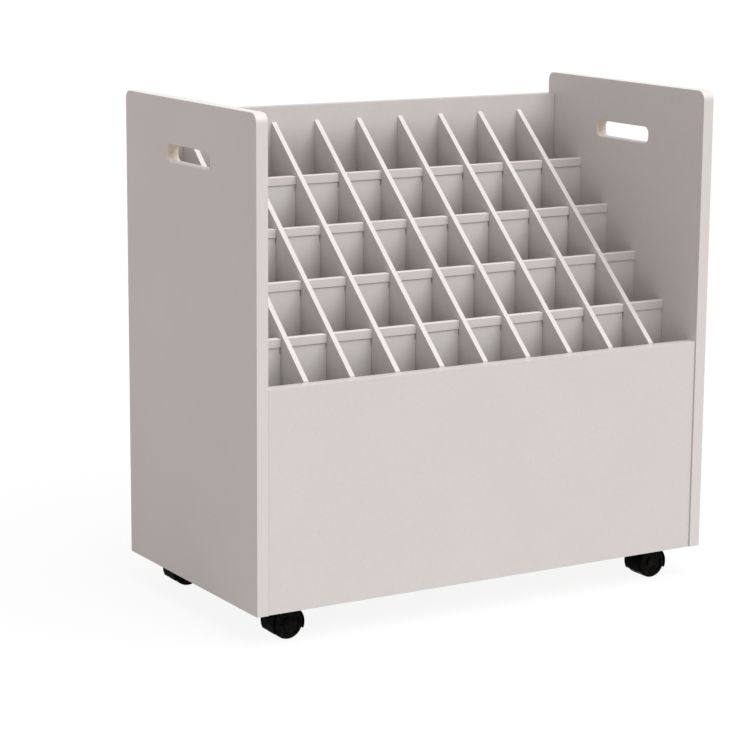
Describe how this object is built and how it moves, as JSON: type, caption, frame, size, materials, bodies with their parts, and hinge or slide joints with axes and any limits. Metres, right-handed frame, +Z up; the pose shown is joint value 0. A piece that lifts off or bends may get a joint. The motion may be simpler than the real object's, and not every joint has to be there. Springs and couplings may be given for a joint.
{
  "type": "mobile roll file organizer",
  "caption": "Laminate cabinet with an open egg-crate grid of square compartments, stepped up to the rear, for rolled drawings, on hooded twin-wheel casters.",
  "frame": {"origin": "on the floor, under the centre of the cabinet", "axes": "+X to the right, +Y to the rear, +Z up; the low front faces -Y"},
  "size_m": [0.7684, 0.4, 0.743],
  "materials": {
    "laminate": "satin",
    "edge_band": "satin",
    "divider_board": "satin",
    "label_strip": "satin",
    "dowel_wood": "raw",
    "cam_metal": "zinc plated",
    "caster_steel": "zinc plated",
    "hood_plastic": "moulded",
    "wheel_plastic": "moulded"
  },
  "bodies": {
    "cabinet": {"back_panel": "laminate", "back_top_band": "edge_band", "bottom_panel": "laminate", "cam_bolts": "cam_metal", "cam_locks": "cam_metal", "caster_screws": "caster_steel", "cross_divider_1": "divider_board", "cross_divider_2": "divider_board", "cross_divider_3": "divider_board", "cross_divider_4": "divider_board", "dowels": "dowel_wood", "front_left_caster_plate": "caster_steel", "front_left_swivel_pin": "caster_steel", "front_panel": "laminate", "front_right_caster_plate": "caster_steel", "front_right_swivel_pin": "caster_steel", "front_top_band": "edge_band", "label_strips_1": "label_strip", "label_strips_2": "label_strip", "label_strips_3": "label_strip", "label_strips_4": "label_strip", "left_edge_band": "edge_band", "left_side_panel": "laminate", "long_divider_1": "divider_board", "long_divider_2": "divider_board", "long_divider_3": "divider_board", "long_divider_4": "divider_board", "long_divider_5": "divider_board", "long_divider_6": "divider_board", "long_divider_7": "divider_board", "long_divider_8": "divider_board", "long_divider_9": "divider_board", "rear_left_caster_plate": "caster_steel", "rear_left_swivel_pin": "caster_steel", "rear_right_caster_plate": "caster_steel", "rear_right_swivel_pin": "caster_steel", "right_edge_band": "edge_band", "right_side_panel": "laminate", "swivel_washers": "caster_steel"},
    "front_left_caster": {"front_left_caster_hood": "hood_plastic", "front_left_caster_axle": "caster_steel"},
    "front_left_front_wheel": {"front_left_caster_front_wheel": "wheel_plastic"},
    "front_left_rear_wheel": {"front_left_caster_rear_wheel": "wheel_plastic"},
    "front_right_caster": {"front_right_caster_hood": "hood_plastic", "front_right_caster_axle": "caster_steel"},
    "front_right_front_wheel": {"front_right_caster_front_wheel": "wheel_plastic"},
    "front_right_rear_wheel": {"front_right_caster_rear_wheel": "wheel_plastic"},
    "rear_left_caster": {"rear_left_caster_hood": "hood_plastic", "rear_left_caster_axle": "caster_steel"},
    "rear_left_front_wheel": {"rear_left_caster_front_wheel": "wheel_plastic"},
    "rear_left_rear_wheel": {"rear_left_caster_rear_wheel": "wheel_plastic"},
    "rear_right_caster": {"rear_right_caster_hood": "hood_plastic", "rear_right_caster_axle": "caster_steel"},
    "rear_right_front_wheel": {"rear_right_caster_front_wheel": "wheel_plastic"},
    "rear_right_rear_wheel": {"rear_right_caster_rear_wheel": "wheel_plastic"}
  },
  "joints": [
    {"name": "front_left_swivel", "type": "hinge", "parent": "cabinet", "child": "front_left_caster", "pos_m": [-0.31767, -0.155, 0.05], "axis": [0, 0, 1], "continuous": true},
    {"name": "front_right_swivel", "type": "hinge", "parent": "cabinet", "child": "front_right_caster", "pos_m": [0.31767, -0.155, 0.05], "axis": [0, 0, 1], "continuous": true},
    {"name": "rear_left_swivel", "type": "hinge", "parent": "cabinet", "child": "rear_left_caster", "pos_m": [-0.31767, 0.155, 0.05], "axis": [0, 0, 1], "continuous": true},
    {"name": "rear_right_swivel", "type": "hinge", "parent": "cabinet", "child": "rear_right_caster", "pos_m": [0.31767, 0.155, 0.05], "axis": [0, 0, 1], "continuous": true},
    {"name": "front_left_front_wheel_roll", "type": "hinge", "parent": "front_left_caster", "child": "front_left_front_wheel", "pos_m": [-0.31967, -0.155, 0.023], "axis": [0, 1, 0], "continuous": true},
    {"name": "front_left_rear_wheel_roll", "type": "hinge", "parent": "front_left_caster", "child": "front_left_rear_wheel", "pos_m": [-0.31967, -0.155, 0.023], "axis": [0, 1, 0], "continuous": true},
    {"name": "front_right_front_wheel_roll", "type": "hinge", "parent": "front_right_caster", "child": "front_right_front_wheel", "pos_m": [0.31567, -0.155, 0.023], "axis": [0, 1, 0], "continuous": true},
    {"name": "front_right_rear_wheel_roll", "type": "hinge", "parent": "front_right_caster", "child": "front_right_rear_wheel", "pos_m": [0.31567, -0.155, 0.023], "axis": [0, 1, 0], "continuous": true},
    {"name": "rear_left_front_wheel_roll", "type": "hinge", "parent": "rear_left_caster", "child": "rear_left_front_wheel", "pos_m": [-0.31967, 0.155, 0.023], "axis": [0, 1, 0], "continuous": true},
    {"name": "rear_left_rear_wheel_roll", "type": "hinge", "parent": "rear_left_caster", "child": "rear_left_rear_wheel", "pos_m": [-0.31967, 0.155, 0.023], "axis": [0, 1, 0], "continuous": true},
    {"name": "rear_right_front_wheel_roll", "type": "hinge", "parent": "rear_right_caster", "child": "rear_right_front_wheel", "pos_m": [0.31567, 0.155, 0.023], "axis": [0, 1, 0], "continuous": true},
    {"name": "rear_right_rear_wheel_roll", "type": "hinge", "parent": "rear_right_caster", "child": "rear_right_rear_wheel", "pos_m": [0.31567, 0.155, 0.023], "axis": [0, 1, 0], "continuous": true}
  ]
}
